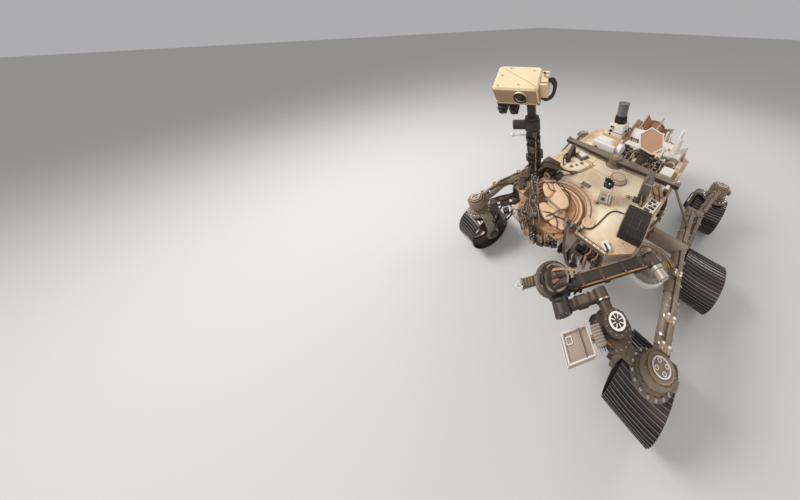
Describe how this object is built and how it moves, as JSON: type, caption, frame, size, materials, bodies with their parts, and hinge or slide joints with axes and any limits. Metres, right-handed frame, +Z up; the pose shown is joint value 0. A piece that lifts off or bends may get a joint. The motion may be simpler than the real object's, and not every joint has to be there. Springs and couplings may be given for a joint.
{
  "type": "mars rover",
  "caption": "Six-wheeled Mars rover with rocker and bogie suspension, camera mast, folded tool arm, tilting dish and finned power source.",
  "frame": {"origin": "on the ground under the middle of the bounding box", "axes": "+X ahead, +Y to port (the left side), +Z up"},
  "size_m": [3.067, 2.71, 2.1753],
  "materials": {
    "wheel_metal": "satin",
    "spoke_metal": "satin",
    "dark_anodised": "matte",
    "grey_paint": "satin",
    "tube_grey": "satin",
    "body_white": "satin",
    "deck_white": "satin",
    "beige_paint": "satin",
    "dark_metal": "satin",
    "dish_paint": "matte",
    "fin_paint": "matte",
    "panel_white": "satin",
    "black_housing": "matte"
  },
  "bodies": {
    "chassis": {"arm_base": "body_white", "bay_cover": "deck_white", "body_box": "body_white", "bogie_left": "tube_grey", "bogie_right": "tube_grey", "deck_sensors": "body_white", "differential_bar": "beige_paint", "differential_links": "beige_paint", "dish_base": "grey_paint", "drum_antenna": "grey_paint", "front_carousel": "body_white", "front_hoop": "tube_grey", "hazard_cameras": "dark_metal", "mast_base": "dark_metal", "mast_booms": "body_white", "mast_column": "dark_metal", "middle_drives": "dark_anodised", "port_housing": "black_housing", "power_cradle": "grey_paint", "power_source": "fin_paint", "rear_equipment": "body_white", "rocker_left": "tube_grey", "rocker_right": "tube_grey", "side_panels": "panel_white", "steering_drums": "grey_paint", "top_deck": "deck_white"},
    "steering_front_left": {"bracket_front_left": "grey_paint", "drive_front_left": "dark_anodised"},
    "wheel_front_left": {"tyre_front_left": "wheel_metal", "hub_front_left": "spoke_metal"},
    "steering_front_right": {"bracket_front_right": "grey_paint", "drive_front_right": "dark_anodised"},
    "wheel_front_right": {"tyre_front_right": "wheel_metal", "hub_front_right": "spoke_metal"},
    "steering_rear_left": {"bracket_rear_left": "grey_paint", "drive_rear_left": "dark_anodised"},
    "wheel_rear_left": {"tyre_rear_left": "wheel_metal", "hub_rear_left": "spoke_metal"},
    "steering_rear_right": {"bracket_rear_right": "grey_paint", "drive_rear_right": "dark_anodised"},
    "wheel_rear_right": {"tyre_rear_right": "wheel_metal", "hub_rear_right": "spoke_metal"},
    "wheel_middle_left": {"tyre_middle_left": "wheel_metal", "hub_middle_left": "spoke_metal"},
    "wheel_middle_right": {"tyre_middle_right": "wheel_metal", "hub_middle_right": "spoke_metal"},
    "shoulder": {"arm_shoulder": "dark_metal"},
    "upper_arm": {"arm_upper": "dark_metal"},
    "forearm": {"arm_forearm": "dark_metal"},
    "wrist": {"arm_wrist": "dark_metal"},
    "turret": {"turret_hub": "grey_paint", "turret_framed_box": "body_white", "turret_tools": "grey_paint"},
    "mast_neck": {"mast_neck": "dark_metal"},
    "mast_head": {"mast_head": "body_white", "head_cameras": "dark_metal"},
    "dish_yoke": {"dish_yoke": "grey_paint"},
    "dish": {"dish_face": "dish_paint"}
  },
  "joints": [
    {"name": "steer_front_left", "type": "hinge", "parent": "chassis", "child": "steering_front_left", "pos_m": [1.12, 1.06, 0.58], "axis": [0, 0, 1], "range_deg": [-90, 90]},
    {"name": "roll_front_left", "type": "hinge", "parent": "steering_front_left", "child": "wheel_front_left", "pos_m": [1.12, 1.06, 0.2625], "axis": [0, 1, 0], "continuous": true},
    {"name": "steer_front_right", "type": "hinge", "parent": "chassis", "child": "steering_front_right", "pos_m": [1.12, -1.06, 0.58], "axis": [0, 0, 1], "range_deg": [-90, 90]},
    {"name": "roll_front_right", "type": "hinge", "parent": "steering_front_right", "child": "wheel_front_right", "pos_m": [1.12, -1.06, 0.2625], "axis": [0, 1, 0], "continuous": true},
    {"name": "steer_rear_left", "type": "hinge", "parent": "chassis", "child": "steering_rear_left", "pos_m": [-1.1, 1.06, 0.58], "axis": [0, 0, 1], "range_deg": [-90, 90]},
    {"name": "roll_rear_left", "type": "hinge", "parent": "steering_rear_left", "child": "wheel_rear_left", "pos_m": [-1.1, 1.06, 0.2625], "axis": [0, 1, 0], "continuous": true},
    {"name": "steer_rear_right", "type": "hinge", "parent": "chassis", "child": "steering_rear_right", "pos_m": [-1.1, -1.06, 0.58], "axis": [0, 0, 1], "range_deg": [-90, 90]},
    {"name": "roll_rear_right", "type": "hinge", "parent": "steering_rear_right", "child": "wheel_rear_right", "pos_m": [-1.1, -1.06, 0.2625], "axis": [0, 1, 0], "continuous": true},
    {"name": "roll_middle_left", "type": "hinge", "parent": "chassis", "child": "wheel_middle_left", "pos_m": [0, 1.19, 0.2625], "axis": [0, 1, 0], "continuous": true},
    {"name": "roll_middle_right", "type": "hinge", "parent": "chassis", "child": "wheel_middle_right", "pos_m": [0, -1.19, 0.2625], "axis": [0, 1, 0], "continuous": true},
    {"name": "arm_turn", "type": "hinge", "parent": "chassis", "child": "shoulder", "pos_m": [0.655, 0.76, 0.89], "axis": [0, 0, 1], "range_deg": [0, 130]},
    {"name": "arm_lift", "type": "hinge", "parent": "shoulder", "child": "upper_arm", "pos_m": [0.655, 0.76, 1.01], "axis": [-0.5299, -0.848, 0], "range_deg": [-20, 80]},
    {"name": "arm_elbow", "type": "hinge", "parent": "upper_arm", "child": "forearm", "pos_m": [1.29273, 0.3615, 1.01], "axis": [-0.5299, -0.848, 0], "range_deg": [0, 170]},
    {"name": "arm_wrist", "type": "hinge", "parent": "forearm", "child": "wrist", "pos_m": [1.12141, 0.60062, 1.01], "axis": [-0.5299, -0.848, 0], "range_deg": [-90, 90]},
    {"name": "turret_turn", "type": "hinge", "parent": "wrist", "child": "turret", "pos_m": [1.2115, 0.74479, 1.01], "axis": [0, 0, 1], "range_deg": [-10, 190]},
    {"name": "mast_pan", "type": "hinge", "parent": "chassis", "child": "mast_neck", "pos_m": [0.6, -0.56, 1.74], "axis": [0, 0, 1], "range_deg": [-180, 180]},
    {"name": "mast_tilt", "type": "hinge", "parent": "mast_neck", "child": "mast_head", "pos_m": [0.6, -0.56, 1.955], "axis": [-0.5592, 0.829, 0], "range_deg": [-116, 62]},
    {"name": "dish_turn", "type": "hinge", "parent": "chassis", "child": "dish_yoke", "pos_m": [-0.395, 0.217, 1.2], "axis": [0, 0, 1], "range_deg": [-180, 180]},
    {"name": "dish_tilt", "type": "hinge", "parent": "dish_yoke", "child": "dish", "pos_m": [-0.395, 0.217, 1.38], "axis": [0.6428, -0.766, 0], "range_deg": [-38, 52]}
  ]
}
